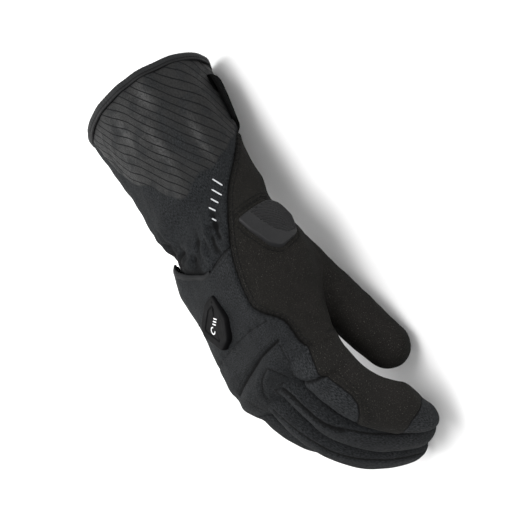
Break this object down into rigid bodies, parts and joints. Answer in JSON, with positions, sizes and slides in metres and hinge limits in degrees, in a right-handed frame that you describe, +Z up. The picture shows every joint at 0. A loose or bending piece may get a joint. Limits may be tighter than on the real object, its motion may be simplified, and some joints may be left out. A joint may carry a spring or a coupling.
{
  "type": "heated glove",
  "caption": "Padded winter gauntlet glove for the right hand, pre-curved, with a heating switch on the back and a bound cuff.",
  "frame": {"origin": "on the ground, under the middle of the glove as it lies palm down", "axes": "+Z up from the ground, +Y along the forearm towards the cuff opening, +X towards the thumb side"},
  "size_m": [0.1206, 0.307, 0.0991],
  "materials": {
    "suede": "brown-black synthetic suede, matt, with fine light specks",
    "textile": "dark blue-grey melange softshell, matt",
    "cuff_cloth": "dark grey softshell with a slightly glossy striped print",
    "binding": "black woven binding tape",
    "webbing": "black woven webbing",
    "switch_rubber": "soft black silicone rubber",
    "patch_rubber": "dark grey moulded rubber with fine ridges"
  },
  "bodies": {
    "root": {"palm": "suede", "thumb": "suede", "index_finger": "suede", "middle_finger": "textile", "ring_finger": "textile", "little_finger": "textile", "hand_back": "textile", "gauntlet": "cuff_cloth", "cuff_binding": "binding", "cuff_tab": "webbing", "wrist_piping": "binding", "heat_button": "switch_rubber", "wrist_patch": "patch_rubber"}
  },
  "joints": []
}
